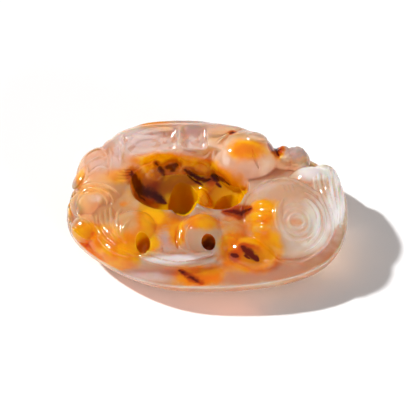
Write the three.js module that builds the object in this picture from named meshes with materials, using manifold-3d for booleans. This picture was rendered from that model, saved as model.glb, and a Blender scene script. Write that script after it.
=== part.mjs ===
// A carved agate pebble: a smooth rounded belly with a thin rim, and on top of it a pierced carving in high
// relief of a curled-up beast. One stone, so one solid.
// Millimetres. +X runs along the stone, +Y to its back, +Z up. The origin is the middle of the flat foot.

import * as THREE from 'three';
import { mergeVertices } from 'three/addons/utils/BufferGeometryUtils.js';
import Module from 'manifold-3d';

const wasm = await Module();
wasm.setup();

// The stone
const length = 56;
const width = 38;
const height = 16;
const rimHeight = 6;
const rimRise = 0.8; // the right end of the rim stands this much above its middle, and the left end as much below
const rimThickness = 0.8;
const lipOverhang = 1.2; // how far the rim stands out past the belly on the left and front
const plateRise = 1.6; // from the rim up to the foot of the carving
const footLength = 20;
const footWidth = 12;

// Drilled holes
const cordHole = 6.2;
const sideHole = 4.8;
const pupilHole = 2.7;
const browHole = 2.8;
const pupilDepth = 6.5;

// Raised carving
const lockWidth = 1.9;
const lipRibWidth = 2;
const finRibWidth = 2;
const toeWidth = 3.3;
const haunchDisc = 12;
const curlDisc = 9.8;
const scrollDisc = 5.6;
const ringRelief = 0.5;

const halfLength = length / 2;
const halfWidth = width / 2;

// A place on the stone, in hundredths of its half length, half width and height.
const place = (along, back, up) => new THREE.Vector3(
  along / 100 * halfLength,
  back / 100 * halfWidth,
  up / 100 * height,
);

function toSolid(geometry) {
  const bare = geometry.clone();
  bare.deleteAttribute('normal');
  bare.deleteAttribute('uv');
  const merged = mergeVertices(bare, 1e-4);
  return new wasm.Manifold(new wasm.Mesh({
    numProp: 3,
    vertProperties: new Float32Array(merged.attributes.position.array),
    triVerts: new Uint32Array(merged.index.array),
  }));
}

function toGeometry(solid) {
  const { vertProperties, triVerts, numProp } = solid.getMesh();
  const corners = new Float32Array(vertProperties.length / numProp * 3);
  for (let i = 0; i < corners.length / 3; i += 1) {
    corners.set(vertProperties.subarray(i * numProp, i * numProp + 3), i * 3);
  }
  const geometry = new THREE.BufferGeometry();
  geometry.setAttribute('position', new THREE.BufferAttribute(corners, 3));
  geometry.setIndex(new THREE.BufferAttribute(new Uint32Array(triVerts), 1));
  geometry.computeVertexNormals();
  return geometry;
}

const join = (solids) => solids.reduce((whole, solid) => whole.add(solid));

// The outer body, with any pocket that forms close off between them filled.
function withoutPockets(solid) {
  const bodies = toSolid(toGeometry(solid)).decompose();
  return bodies.reduce((best, body) => (body.volume() > best.volume() ? body : best));
}

const degrees = Math.PI / 180;
const softPower = (value, power) => Math.sign(value) * Math.abs(value) ** power;

// A rounded form. A square of 1 is an ellipsoid, and a smaller one is nearer a box.
function form({ at, size, turn = 0, lean = 0, square = 1, around = 14, high = 8 }) {
  const geometry = new THREE.SphereGeometry(1, around, high);
  geometry.rotateX(Math.PI / 2);
  const corner = new THREE.Vector3();
  const spots = geometry.attributes.position;
  for (let i = 0; i < spots.count; i += 1) {
    corner.fromBufferAttribute(spots, i);
    spots.setXYZ(i, softPower(corner.x, square), softPower(corner.y, square), softPower(corner.z, square));
  }
  const radii = place(...size);
  geometry.scale(radii.x, radii.y, radii.z);
  geometry.rotateX(lean * degrees);
  geometry.rotateZ(turn * degrees);
  const middle = place(...at);
  geometry.translate(middle.x, middle.y, middle.z);
  return toSolid(geometry);
}

// A rounded roll along a path, such as a lock of the mane or a rib. It thins towards both ends.
function roll(path, thickness, { steps = 8, sides = 6, blunt = 0.6 } = {}) {
  const curve = new THREE.CatmullRomCurve3(path);
  const geometry = new THREE.SphereGeometry(1, sides, steps);
  const frames = curve.computeFrenetFrames(steps, false);
  const spots = geometry.attributes.position;
  const corner = new THREE.Vector3();
  for (let i = 0; i < spots.count; i += 1) {
    corner.fromBufferAttribute(spots, i);
    const row = Math.round(Math.acos(THREE.MathUtils.clamp(corner.y, -1, 1)) / Math.PI * steps);
    const across = Math.hypot(corner.x, corner.z);
    const radius = across < 1e-6 ? 0 : thickness / 2 * across ** blunt / across;
    const spot = curve.getPointAt(row / steps)
      .addScaledVector(frames.normals[row], corner.x * radius)
      .addScaledVector(frames.binormals[row], corner.z * radius);
    spots.setXYZ(i, spot.x, spot.y, spot.z);
  }
  return toSolid(geometry);
}

// A round cap with ridges in rings on it. Its middle stands at a place, and it faces along a direction.
function ringedCap({ at, facing, diameter, rings, around = 22 }) {
  const radius = diameter / 2;
  const bulge = 0.36 * radius;
  const root = 0.6 * radius;
  const profile = [new THREE.Vector2(0, -root), new THREE.Vector2(radius * 0.96, -root)];
  const rows = rings * 3;
  for (let i = 0; i <= rows; i += 1) {
    const out = 1 - i / rows;
    const ridge = ringRelief / 2 * (1 + Math.cos(2 * Math.PI * rings * out));
    profile.push(new THREE.Vector2(radius * out, ridge - bulge * out * out));
  }
  const geometry = new THREE.LatheGeometry(profile, around);
  const turn = new THREE.Quaternion().setFromUnitVectors(new THREE.Vector3(0, 1, 0), facing.clone().normalize());
  geometry.applyQuaternion(turn);
  const middle = place(...at);
  geometry.translate(middle.x, middle.y, middle.z);
  return toSolid(geometry);
}

// A drilled hole from a place on the surface, along a direction into the stone.
function drilled(mouth, into, diameter, depth, sides = 20) {
  const above = height;
  const geometry = new THREE.CylinderGeometry(diameter / 2, diameter / 2, above + depth, sides);
  geometry.translate(0, (above - depth) / 2, 0);
  const up = into.clone().normalize().negate();
  geometry.applyQuaternion(new THREE.Quaternion().setFromUnitVectors(new THREE.Vector3(0, 1, 0), up));
  geometry.translate(mouth.x, mouth.y, mouth.z);
  return toSolid(geometry);
}

// The outline seen from above: an oval, fuller at its front right and back left.
function outline(angle) {
  const fullness = 2 / (2.29 + 0.2 * Math.cos(angle) - 0.24 * Math.sin(2 * angle));
  return new THREE.Vector2(
    halfLength * softPower(Math.cos(angle), fullness),
    halfWidth * softPower(Math.sin(angle), fullness),
  );
}

const rimLevel = (x) => rimHeight + rimRise * x / halfLength;

// The stone before carving: flat foot, round belly, thin rim and a low rounded top.
function blank() {
  const around = 48;
  const bellyRows = 6;
  const corners = [0, 0, 0];
  const rows = [];
  for (let i = 0; i <= bellyRows; i += 1) {
    const climb = i / bellyRows * Math.PI / 2;
    rows.push((angle) => {
      const edge = outline(angle);
      const foot = new THREE.Vector2(Math.cos(angle) * footLength / 2, Math.sin(angle) * footWidth / 2);
      const lip = lipOverhang * (1 - Math.cos(angle + 50 * degrees)) / 2;
      const belly = edge.clone().multiplyScalar(1 - lip / edge.length());
      const spot = foot.lerp(belly, Math.sin(climb));
      return [spot.x, spot.y, (rimLevel(spot.x) - rimThickness) * (1 - Math.cos(climb))];
    });
  }
  const rimProfile = [[1, 0.45], [1, 0.75], [0.985, 1]];
  for (const [out, share] of rimProfile) {
    rows.push((angle) => {
      const edge = outline(angle).multiplyScalar(out);
      return [edge.x, edge.y, rimLevel(edge.x) - rimThickness * (1 - share)];
    });
  }
  const topRows = 2;
  for (let i = 1; i <= topRows; i += 1) {
    rows.push((angle) => {
      const out = 0.985 - 0.3 * i / topRows;
      const edge = outline(angle).multiplyScalar(out);
      return [edge.x, edge.y, rimLevel(edge.x) + plateRise * Math.sin(i / topRows * Math.PI / 2)];
    });
  }
  for (const row of rows) {
    for (let i = 0; i < around; i += 1) corners.push(...row(i / around * 2 * Math.PI));
  }
  corners.push(0, 0, rimHeight + plateRise);
  const faces = [];
  const at = (row, i) => 1 + row * around + i % around;
  for (let i = 0; i < around; i += 1) {
    faces.push(0, at(0, i + 1), at(0, i));
    for (let row = 0; row < rows.length - 1; row += 1) {
      faces.push(at(row, i), at(row, i + 1), at(row + 1, i + 1));
      faces.push(at(row, i), at(row + 1, i + 1), at(row + 1, i));
    }
    faces.push(at(rows.length - 1, i), at(rows.length - 1, i + 1), corners.length / 3 - 1);
  }
  const geometry = new THREE.BufferGeometry();
  geometry.setAttribute('position', new THREE.BufferAttribute(new Float32Array(corners), 3));
  geometry.setIndex(faces);
  return toSolid(geometry);
}

// The mass that the figures are cut from, before the middle is hollowed out.
function groundMass() {
  return join([
    form({ at: [-4, 8, 38], size: [90, 76, 35], square: 0.8, around: 18, high: 8 }),
    form({ at: [-15, 69, 60], size: [56, 30, 34], square: 0.75, around: 20, high: 10 }), // back wall
    form({ at: [-72, 34, 46], size: [22, 46, 32], square: 0.85 }), // neck
    form({ at: [-28, -50, 40], size: [48, 30, 31], square: 0.85 }), // jaw
    form({ at: [-58, -30, 38], size: [29, 41, 30] }), // temple
    form({ at: [-18, -64, 38], size: [40, 16, 19], square: 0.6 }), // chin
  ]);
}

// The hollow in the middle, and the two flat panels cut into the back wall on either side of its spine.
function hollows() {
  return join([
    form({ at: [-12, 16, 76], size: [42, 39, 46], around: 20, high: 10 }),
    form({ at: [-44, 67, 98], size: [24, 25, 18], square: 0.45, turn: 4, lean: 17 }),
    form({ at: [-9, 65, 98], size: [9.5, 24, 18], square: 0.5, lean: 15 }),
  ]);
}

const leftBrow = { at: [-51, -40, 50], size: [18.5, 27, 34] };
const fin = { at: [82, 8, 48], size: [15.5, 42, 36] };

// Round haunches, brows, paws and lobes that stand out of the mass.
function lumps() {
  return join([
    form({ at: [56.5, -20, 50], size: [34, 49.5, 46], around: 22, high: 11 }), // large haunch
    form({ at: [27, 55, 62], size: [23, 33.5, 38], around: 20, high: 10 }), // small haunch
    form({ ...leftBrow, around: 16, high: 9 }),
    form({ at: [-4, -45, 51], size: [18.5, 26, 35], around: 16, high: 9 }), // right brow
    form({ at: [-31, -54, 49], size: [14, 19, 27] }), // nose
    form({ at: [17, -42, 46], size: [14, 21, 27] }), // cheek
    form({ at: [30, -62, 45], size: [20, 19, 24], turn: -14 }), // front paw
    form({ at: [73.5, 24, 57.5], size: [16.5, 19, 27] }), // shoulder lobe
    form({ at: [64, 56, 58], size: [10, 15, 21] }),
    form({ at: [54, 56, 62], size: [9, 15, 18] }),
    form({ at: [83, 37, 50], size: [11, 16, 22] }),
    form(fin),
  ]);
}

// Scallops of the mane along the left edge.
function scallops() {
  const spots = [[-65, 67, 61], [-77, 52, 58], [-83, 28, 55], [-86, 2, 50], [-85, -26, 45]];
  return join(spots.map((at) => form({ at, size: [13, 19, 22], turn: 20 })));
}

// Locks that sweep round the left brow and run on along the lip.
function locks() {
  const count = 4;
  const made = [];
  for (let i = 0; i < count; i += 1) {
    const path = [];
    for (let k = 0; k <= 6; k += 1) {
      const angle = THREE.MathUtils.lerp(150, 282, k / 6) * degrees;
      const reach = THREE.MathUtils.lerp(0.79 + 0.13 * i, 1.1 + 0.24 * i, (1 - k / 6) ** 2.4);
      const up = THREE.MathUtils.lerp(74 - 3 * i, 66 - 4 * i, k / 6);
      path.push(place(
        leftBrow.at[0] + leftBrow.size[0] * reach * Math.cos(angle),
        leftBrow.at[1] + leftBrow.size[1] * reach * Math.sin(angle),
        up,
      ));
    }
    made.push(roll(path, lockWidth));
  }
  return join(made);
}

// Ribs of the lower lip.
function lip() {
  const made = [];
  for (let i = 0; i < 3; i += 1) {
    const path = [
      place(-52, -66 - 3 * i, 54 - 4 * i),
      place(-36, -72 - 3 * i, 56 - 4 * i),
      place(-14, -76 - 3 * i, 56 - 5 * i),
      place(6, -73 - 3 * i, 55 - 5 * i),
      place(15, -67 - 3 * i, 54 - 5 * i),
    ];
    made.push(roll(path, lipRibWidth, { steps: 11 }));
  }
  return join(made);
}

// Ribs that run down over the fin at the right end.
function finRibs() {
  const made = [];
  for (const aside of [-12, 14, 40, 66]) {
    const path = [];
    for (const along of [55, 25, -5, -35, -65]) {
      path.push(place(
        fin.at[0] + fin.size[0] * Math.cos(along * degrees) * Math.sin(aside * degrees),
        fin.at[1] + fin.size[1] * Math.sin(along * degrees),
        fin.at[2] + fin.size[2] * Math.cos(along * degrees) * Math.cos(aside * degrees),
      ));
    }
    made.push(roll(path, finRibWidth));
  }
  return join(made);
}

// Toes that rest against the large haunch.
function toes() {
  return join([
    roll([place(29, -18, 75), place(39, -19, 86), place(50, -20, 92)], toeWidth),
    roll([place(28, -35, 70), place(39, -37, 82), place(50, -37, 89)], toeWidth),
    roll([place(30, -48, 62), place(39, -49, 73), place(49, -49, 82)], toeWidth),
  ]);
}

// Ringed discs: on the large haunch, on the curl at the left end and on the scroll in the hollow.
function curls() {
  const haunchFacing = new THREE.Vector3(0.217, -0.5, 0.838);
  const curlFacing = new THREE.Vector3(-0.2, -0.25, 0.94);
  const scrollFacing = new THREE.Vector3(0, -0.8, 0.6);
  return join([
    ringedCap({ at: [65, -46, 87.5], facing: haunchFacing, diameter: haunchDisc, rings: 3 }),
    ringedCap({ at: [-82, -8, 70], facing: curlFacing, diameter: curlDisc, rings: 3 }),
    ringedCap({ at: [-3, 47, 62], facing: scrollFacing, diameter: scrollDisc, rings: 2, around: 14 }),
  ]);
}

const down = new THREE.Vector3(0, 0, -1);

function holes() {
  return join([
    drilled(place(-17, 24, 34), down, cordHole, height),
    drilled(place(13.5, 15, 50), new THREE.Vector3(0, 0.12, -0.99), sideHole, height),
    drilled(place(1, -64, 76), new THREE.Vector3(0, 0.35, -0.94), pupilHole, pupilDepth),
    drilled(place(-45, -62, 76), down, browHole, pupilDepth),
  ]);
}

const carved = withoutPockets(join([
  join([blank(), groundMass()]).subtract(hollows()),
  lumps(), scallops(), locks(), lip(), finRibs(), toes(), curls(),
]).subtract(holes()));

const agate = new THREE.MeshStandardMaterial({ color: 0xdba57c, roughness: 0.15, metalness: 0 });
const pebble = new THREE.Mesh(toGeometry(carved), agate);
pebble.name = 'carved_pebble';

const group = new THREE.Group();
group.add(pebble);

export default group;
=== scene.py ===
# A carved agate pebble: a pierced carving of a curled-up beast on a smooth rounded stone.
# Shapes are worked out in millimetres and turned into metres at the end.

import math

import bmesh
import bpy
import numpy as np
from mathutils import Matrix, Vector, noise
from mathutils.bvhtree import BVHTree


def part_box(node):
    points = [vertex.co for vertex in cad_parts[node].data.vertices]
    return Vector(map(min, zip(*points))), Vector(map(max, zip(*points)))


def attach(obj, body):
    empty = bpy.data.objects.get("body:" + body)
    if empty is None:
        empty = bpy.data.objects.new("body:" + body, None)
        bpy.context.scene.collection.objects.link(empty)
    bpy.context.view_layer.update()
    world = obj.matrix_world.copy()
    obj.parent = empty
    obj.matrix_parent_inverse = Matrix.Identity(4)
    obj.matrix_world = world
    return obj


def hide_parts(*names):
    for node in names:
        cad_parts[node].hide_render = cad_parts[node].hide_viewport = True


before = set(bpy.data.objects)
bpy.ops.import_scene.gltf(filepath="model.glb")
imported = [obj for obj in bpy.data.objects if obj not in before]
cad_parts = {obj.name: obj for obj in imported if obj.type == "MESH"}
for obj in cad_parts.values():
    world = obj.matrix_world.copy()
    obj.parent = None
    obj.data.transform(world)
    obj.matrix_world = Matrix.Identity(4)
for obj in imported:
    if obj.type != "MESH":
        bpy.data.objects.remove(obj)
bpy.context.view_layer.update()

toMm = 1000.0
lowCorner, highCorner = (np.array(corner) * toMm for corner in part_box("carved_pebble"))
halfLength, halfWidth = (highCorner - lowCorner)[:2] / 2
height = (highCorner - lowCorner)[2]
coarser = 1.0
print("stone of", halfLength * 2, "by", halfWidth * 2, "by", height, "mm")


# Camera

cameraSettings = {
    "elevation": 50.0,
    "lens": 300.0,
    "sensor": 36.0,
    "imageSide": 410.0,  # pixels
    "pixelsPerMm": 5.0,
    "lookAt": (-0.4, 2.09, 6.0),
    "clip": (0.01, 20.0),   # metres
}

tilt = math.radians(cameraSettings["elevation"])
viewRight = np.array([1.0, 0.0, 0.0])
viewUp = np.array([0.0, math.sin(tilt), math.cos(tilt)])
viewForward = np.array([0.0, math.cos(tilt), -math.sin(tilt)])
frameWidth = cameraSettings["imageSide"] / cameraSettings["pixelsPerMm"]
cameraDistance = frameWidth * cameraSettings["lens"] / cameraSettings["sensor"]
cameraSpot = np.array(cameraSettings["lookAt"]) - cameraDistance * viewForward


def makeCamera():
    data = bpy.data.cameras.new("camera")
    data.lens = cameraSettings["lens"]
    data.sensor_width = cameraSettings["sensor"]
    data.clip_start, data.clip_end = cameraSettings["clip"]
    camera = bpy.data.objects.new("camera", data)
    camera.location = cameraSpot / toMm
    camera.rotation_euler = (math.radians(90) - tilt, 0, 0)
    bpy.context.collection.objects.link(camera)
    bpy.context.scene.camera = camera


# Mesh helpers

def place(along, back, up):
    # hundredths of the stone's half length, half width and height
    return np.array([along / 100 * halfLength, back / 100 * halfWidth, up / 100 * height])


def meshObject(name, shells):
    points = np.concatenate([shell[0] for shell in shells])
    faces = []
    first = 0
    for shellPoints, shellFaces in shells:
        faces.extend([[first + corner for corner in face] for face in shellFaces])
        first += len(shellPoints)
    mesh = bpy.data.meshes.new(name)
    mesh.from_pydata(points.tolist(), [], faces)
    made = bpy.data.objects.new(name, mesh)
    bpy.context.collection.objects.link(made)
    return made


def shellOf(thing):
    points = np.empty(len(thing.data.vertices) * 3)
    thing.data.vertices.foreach_get("co", points)
    return points.reshape(-1, 3), [list(face.vertices) for face in thing.data.polygons]


def settle(thing):
    # bakes the modifiers into the mesh
    graph = bpy.context.evaluated_depsgraph_get()
    finished = bpy.data.meshes.new_from_object(thing.evaluated_get(graph))
    thing.modifiers.clear()
    old = thing.data
    thing.data = finished
    bpy.data.meshes.remove(old)
    return thing


def remove(thing):
    data = thing.data
    bpy.data.objects.remove(thing)
    if isinstance(data, bpy.types.Mesh):
        bpy.data.meshes.remove(data)


def fuse(thing, voxel):
    # melts overlapping shells into one skin
    remesh = thing.modifiers.new("fuse", "REMESH")
    remesh.mode = "VOXEL"
    remesh.voxel_size = voxel * coarser
    return settle(thing)


def soften(thing, rounds):
    smooth = thing.modifiers.new("soften", "SMOOTH")
    smooth.factor = 0.5
    smooth.iterations = max(1, round(rounds / coarser))
    return settle(thing)


def cutAway(thing, cutters):
    for cutter in cutters:
        cut = thing.modifiers.new("cut", "BOOLEAN")
        cut.operation = "DIFFERENCE"
        cut.solver = "MANIFOLD"
        cut.object = cutter
        settle(thing)
        remove(cutter)
    return thing


def unitBall(detail):
    ball = bmesh.new()
    bmesh.ops.create_icosphere(ball, subdivisions=detail, radius=1)
    points = np.array([corner.co[:] for corner in ball.verts])
    faces = [[corner.index for corner in face.verts] for face in ball.faces]
    ball.free()
    return points, faces


balls = {detail: unitBall(detail) for detail in (4, 5, 6)}


def roundForm(at, size, turn=0.0, lean=0.0, square=1.0, detail=4):
    # a square of 1 is an ellipsoid, and a smaller one is nearer a box
    points, faces = balls[detail]
    points = np.sign(points) * np.abs(points) ** square * place(*size)
    turning = Matrix.Rotation(math.radians(turn), 3, "Z") @ Matrix.Rotation(math.radians(lean), 3, "X")
    return points @ np.array(turning).T + place(*at), faces


# What the camera sees

def sightLine(px, py):
    side = cameraSettings["imageSide"]
    across = (px - side / 2) / side * cameraSettings["sensor"]
    upwards = (side / 2 - py) / side * cameraSettings["sensor"]
    ray = cameraSettings["lens"] * viewForward + across * viewRight + upwards * viewUp
    return ray / np.linalg.norm(ray)


def seenSpot(tree, px, py):
    # the spot of the stone that shows at a pixel of the photo, and the way its surface faces
    ray = sightLine(px, py)
    spot, facing, index, distance = tree.ray_cast(Vector(cameraSpot), Vector(ray))
    if spot is None:
        spot, facing, index, distance = tree.find_nearest(Vector(cameraSpot + ray * cameraDistance))
    return np.array(spot), np.array(facing)


def treeOf(thing):
    points, faces = shellOf(thing)
    return BVHTree.FromPolygons(points.tolist(), faces)


# Geometry Nodes: rolls that follow paths and rings that nest on a dome

def newTree(name, inputs):
    tree = bpy.data.node_groups.new(name, "GeometryNodeTree")
    tree.interface.new_socket("Geometry", in_out="INPUT", socket_type="NodeSocketGeometry")
    for label, kind in inputs:
        tree.interface.new_socket(label, in_out="INPUT", socket_type="NodeSocket" + kind)
    tree.interface.new_socket("Geometry", in_out="OUTPUT", socket_type="NodeSocketGeometry")
    return tree, tree.nodes.new("NodeGroupInput"), tree.nodes.new("NodeGroupOutput")


def mathNode(tree, operation, first, second=None):
    node = tree.nodes.new("ShaderNodeMath")
    node.operation = operation
    for socket, value in zip(node.inputs, (first, second)):
        if value is None:
            continue
        if isinstance(value, (int, float)):
            socket.default_value = value
        else:
            tree.links.new(value, socket)
    return node.outputs[0]


def finishTree(tree, geometry, material, target):
    realize = tree.nodes.new("GeometryNodeRealizeInstances")
    setMaterial = tree.nodes.new("GeometryNodeSetMaterial")
    tree.links.new(geometry, realize.inputs[0])
    tree.links.new(realize.outputs[0], setMaterial.inputs["Geometry"])
    tree.links.new(material, setMaterial.inputs["Material"])
    tree.links.new(setMaterial.outputs[0], target.inputs[0])


def rollTree():
    tree, source, target = newTree("rolls along paths", [
        ("Width", "Float"), ("Blunt", "Float"), ("Steps", "Int"), ("Sides", "Int"), ("Material", "Material"),
    ])
    kind = tree.nodes.new("GeometryNodeCurveSplineType")
    kind.spline_type = "CATMULL_ROM"
    resample = tree.nodes.new("GeometryNodeResampleCurve")
    factor = tree.nodes.new("GeometryNodeSplineParameter").outputs["Factor"]
    ownWidth = tree.nodes.new("GeometryNodeInputRadius").outputs[0]
    keepWidth = tree.nodes.new("GeometryNodeCaptureAttribute")
    keepWidth.capture_items.new("FLOAT", "width")
    even = tree.nodes.new("GeometryNodeSetCurveRadius")
    even.inputs["Radius"].default_value = 1.0
    profile = tree.nodes.new("GeometryNodeCurvePrimitiveCircle")
    profile.inputs["Radius"].default_value = 1.0
    sweep = tree.nodes.new("GeometryNodeCurveToMesh")
    sweep.inputs["Fill Caps"].default_value = True
    link = tree.links.new
    link(source.outputs["Geometry"], kind.inputs["Curve"])
    link(kind.outputs[0], keepWidth.inputs["Geometry"])
    link(ownWidth, keepWidth.inputs[1])
    link(keepWidth.outputs["Geometry"], resample.inputs["Curve"])
    link(source.outputs["Steps"], resample.inputs["Count"])
    link(resample.outputs[0], even.inputs["Curve"])
    link(even.outputs[0], sweep.inputs["Curve"])
    link(source.outputs["Sides"], profile.inputs["Resolution"])
    link(profile.outputs[0], sweep.inputs["Profile Curve"])
    arch = mathNode(tree, "SINE", mathNode(tree, "MULTIPLY", factor, math.pi))
    arch = mathNode(tree, "POWER", mathNode(tree, "MAXIMUM", arch, 0.001), source.outputs["Blunt"])
    radius = mathNode(tree, "MULTIPLY", arch, mathNode(tree, "MULTIPLY", source.outputs["Width"], 0.5))
    link(mathNode(tree, "MULTIPLY", radius, keepWidth.outputs[1]), sweep.inputs["Scale"])
    finishTree(tree, sweep.outputs[0], source.outputs["Material"], target)
    return tree


def ringTree():
    tree, source, target = newTree("nested rings", [
        ("Count", "Int"), ("First radius", "Float"), ("Step", "Float"), ("Drop", "Float"), ("Width", "Float"),
        ("Around", "Int"), ("Sides", "Int"), ("Material", "Material"),
    ])
    points = tree.nodes.new("GeometryNodePoints")
    index = tree.nodes.new("GeometryNodeInputIndex").outputs[0]
    circle = tree.nodes.new("GeometryNodeCurvePrimitiveCircle")
    circle.inputs["Radius"].default_value = 1.0
    onPoints = tree.nodes.new("GeometryNodeInstanceOnPoints")
    toCurves = tree.nodes.new("GeometryNodeRealizeInstances")
    profile = tree.nodes.new("GeometryNodeCurvePrimitiveCircle")
    profile.inputs["Radius"].default_value = 1.0
    sweep = tree.nodes.new("GeometryNodeCurveToMesh")
    spot = tree.nodes.new("ShaderNodeCombineXYZ")
    scale = tree.nodes.new("ShaderNodeCombineXYZ")
    link = tree.links.new
    growth = mathNode(tree, "MULTIPLY", index, source.outputs["Step"])
    radius = mathNode(tree, "ADD", source.outputs["First radius"], growth)
    fall = mathNode(tree, "MULTIPLY", mathNode(tree, "MULTIPLY", radius, radius), source.outputs["Drop"])
    link(mathNode(tree, "MULTIPLY", fall, -1.0), spot.inputs["Z"])
    for axis in "XYZ":
        link(radius, scale.inputs[axis])
    link(source.outputs["Count"], points.inputs["Count"])
    link(source.outputs["Around"], circle.inputs["Resolution"])
    link(source.outputs["Sides"], profile.inputs["Resolution"])
    link(spot.outputs[0], points.inputs["Position"])
    link(points.outputs[0], onPoints.inputs["Points"])
    link(circle.outputs[0], onPoints.inputs["Instance"])
    link(scale.outputs[0], onPoints.inputs["Scale"])
    link(onPoints.outputs[0], toCurves.inputs[0])
    link(toCurves.outputs[0], sweep.inputs["Curve"])
    link(profile.outputs[0], sweep.inputs["Profile Curve"])
    link(mathNode(tree, "MULTIPLY", source.outputs["Width"], 0.5), sweep.inputs["Scale"])
    finishTree(tree, sweep.outputs[0], source.outputs["Material"], target)
    return tree


def useTree(thing, tree, values):
    # a plain mesh object, made by the tree from the given one, which is removed
    modifier = thing.modifiers.new(tree.name, "NODES")
    modifier.node_group = tree
    for item in tree.interface.items_tree:
        if item.in_out == "INPUT" and item.name in values:
            modifier[item.identifier] = values[item.name]
    graph = bpy.context.evaluated_depsgraph_get()
    mesh = bpy.data.meshes.new_from_object(thing.evaluated_get(graph))
    made = bpy.data.objects.new(thing.name + " mesh", mesh)
    bpy.context.collection.objects.link(made)
    bpy.data.objects.remove(thing)
    return made


rolls = rollTree()
rings = ringTree()
carvingMaterial = bpy.data.materials.new("agate")


def rollsAlong(name, paths, width, blunt=0.5, steps=40, sides=12):
    # each path is a list of points in mm and its own share of the width
    data = bpy.data.curves.new(name, "CURVE")
    data.dimensions = "3D"
    for points, share in paths:
        spline = data.splines.new("POLY")
        spline.points.add(len(points) - 1)
        for corner, spot in zip(spline.points, points):
            corner.co = (*spot, 1)
            corner.radius = share
    thing = bpy.data.objects.new(name, data)
    bpy.context.collection.objects.link(thing)
    values = {"Width": width, "Blunt": blunt, "Steps": steps, "Sides": sides, "Material": carvingMaterial}
    made = useTree(thing, rolls, values)
    shell = shellOf(made)
    remove(made)
    return shell


def ringsOn(name, middle, facing, s):
    thing = bpy.data.objects.new(name, bpy.data.meshes.new(name))
    bpy.context.collection.objects.link(thing)
    values = {
        "Count": s["count"], "First radius": s["first"], "Step": s["step"], "Drop": s["drop"],
        "Width": s["width"], "Around": s["around"], "Sides": s["sides"], "Material": carvingMaterial,
    }
    made = useTree(thing, rings, values)
    points, faces = shellOf(made)
    remove(made)
    turn = Vector((0, 0, 1)).rotation_difference(Vector(facing)).to_matrix()
    return points @ np.array(turn).T + middle, faces


# The stone before carving

outlineSettings = {
    "fullness": 2.29,       # 2 is an ellipse, and more is nearer a box
    "fullerRight": 0.2,
    "fullerCorners": 0.24,  # front right and back left
}

blankSettings = {
    "rimHeight": 0.375,     # share of the height
    "rimRise": 0.05,
    "rimThickness": 0.05,
    # the rim from below: share of the outline, and share of the rim's thickness
    "rimProfile": [(1.0, 0.4), (1.0, 0.75), (0.992, 0.95), (0.98, 1.0)],
    "lipOverhang": 1.2,     # mm
    "lipTurn": 50.0,        # degrees
    "plateRise": 0.10,
    "plateReach": 0.3,      # how far the top goes in, as a share of the outline
    "foot": (20.0, 12.0),   # mm
    "around": 240,
    "bellyRows": 40,
    "topRows": 14,
}


def outlineAt(angle):
    s = outlineSettings
    power = s["fullness"] + s["fullerRight"] * np.cos(angle) - s["fullerCorners"] * np.sin(2 * angle)
    across = halfLength * np.sign(np.cos(angle)) * np.abs(np.cos(angle)) ** (2 / power)
    deep = halfWidth * np.sign(np.sin(angle)) * np.abs(np.sin(angle)) ** (2 / power)
    return np.stack([across, deep], axis=-1)


def rimLevel(across):
    return height * (blankSettings["rimHeight"] + blankSettings["rimRise"] * across / halfLength)


def blankShell():
    s = blankSettings
    angle = np.arange(s["around"]) / s["around"] * 2 * math.pi
    edge = outlineAt(angle)
    reach = np.linalg.norm(edge, axis=1, keepdims=True)
    foot = np.stack([np.cos(angle) * s["foot"][0] / 2, np.sin(angle) * s["foot"][1] / 2], axis=-1)
    lip = s["lipOverhang"] * (1 - np.cos(angle + math.radians(s["lipTurn"]))) / 2
    belly = edge * (1 - lip[:, None] / reach)
    thick = s["rimThickness"] * height
    rows = []
    for i in range(s["bellyRows"] + 1):
        climb = i / s["bellyRows"] * math.pi / 2
        spot = foot + (belly - foot) * math.sin(climb)
        rows.append(np.column_stack([spot, (rimLevel(spot[:, 0]) - thick) * (1 - math.cos(climb))]))
    for out, share in s["rimProfile"]:
        spot = edge * out
        rows.append(np.column_stack([spot, rimLevel(spot[:, 0]) - thick * (1 - share)]))
    for i in range(1, s["topRows"] + 1):
        spot = edge * (s["rimProfile"][-1][0] - s["plateReach"] * i / s["topRows"])
        rise = s["plateRise"] * height * math.sin(i / s["topRows"] * math.pi / 2)
        rows.append(np.column_stack([spot, rimLevel(spot[:, 0]) + rise]))
    n = s["around"]
    points = np.concatenate([[[0, 0, 0]], *rows, [[0, 0, rimLevel(0) + s["plateRise"] * height]]])
    faces = []
    for i in range(n):
        nextOne = (i + 1) % n
        faces.append([0, 1 + nextOne, 1 + i])
        for row in range(len(rows) - 1):
            start = 1 + row * n
            faces.append([start + i, start + nextOne, start + n + nextOne, start + n + i])
        last = 1 + (len(rows) - 1) * n
        faces.append([last + i, last + nextOne, len(points) - 1])
    return points, faces


# The carving's forms, each with its place and size in hundredths as in place()

groundForms = [
    dict(at=(-4, 8, 38), size=(90, 76, 35), square=0.8, detail=5),
    dict(at=(-15, 69, 60), size=(56, 30, 34), square=0.75, detail=5),     # back wall
    dict(at=(12, 66, 46), size=(28, 29, 40), detail=5),     # shoulder behind the round haunch
    dict(at=(-72, 34, 46), size=(22, 46, 32), square=0.85),     # neck
    dict(at=(-28, -50, 40), size=(48, 30, 31), square=0.85),    # jaw
    dict(at=(-58, -30, 38), size=(27, 37, 30)),     # temple
    dict(at=(-18, -64, 38), size=(40, 15, 17), square=0.6),     # chin
]

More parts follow.
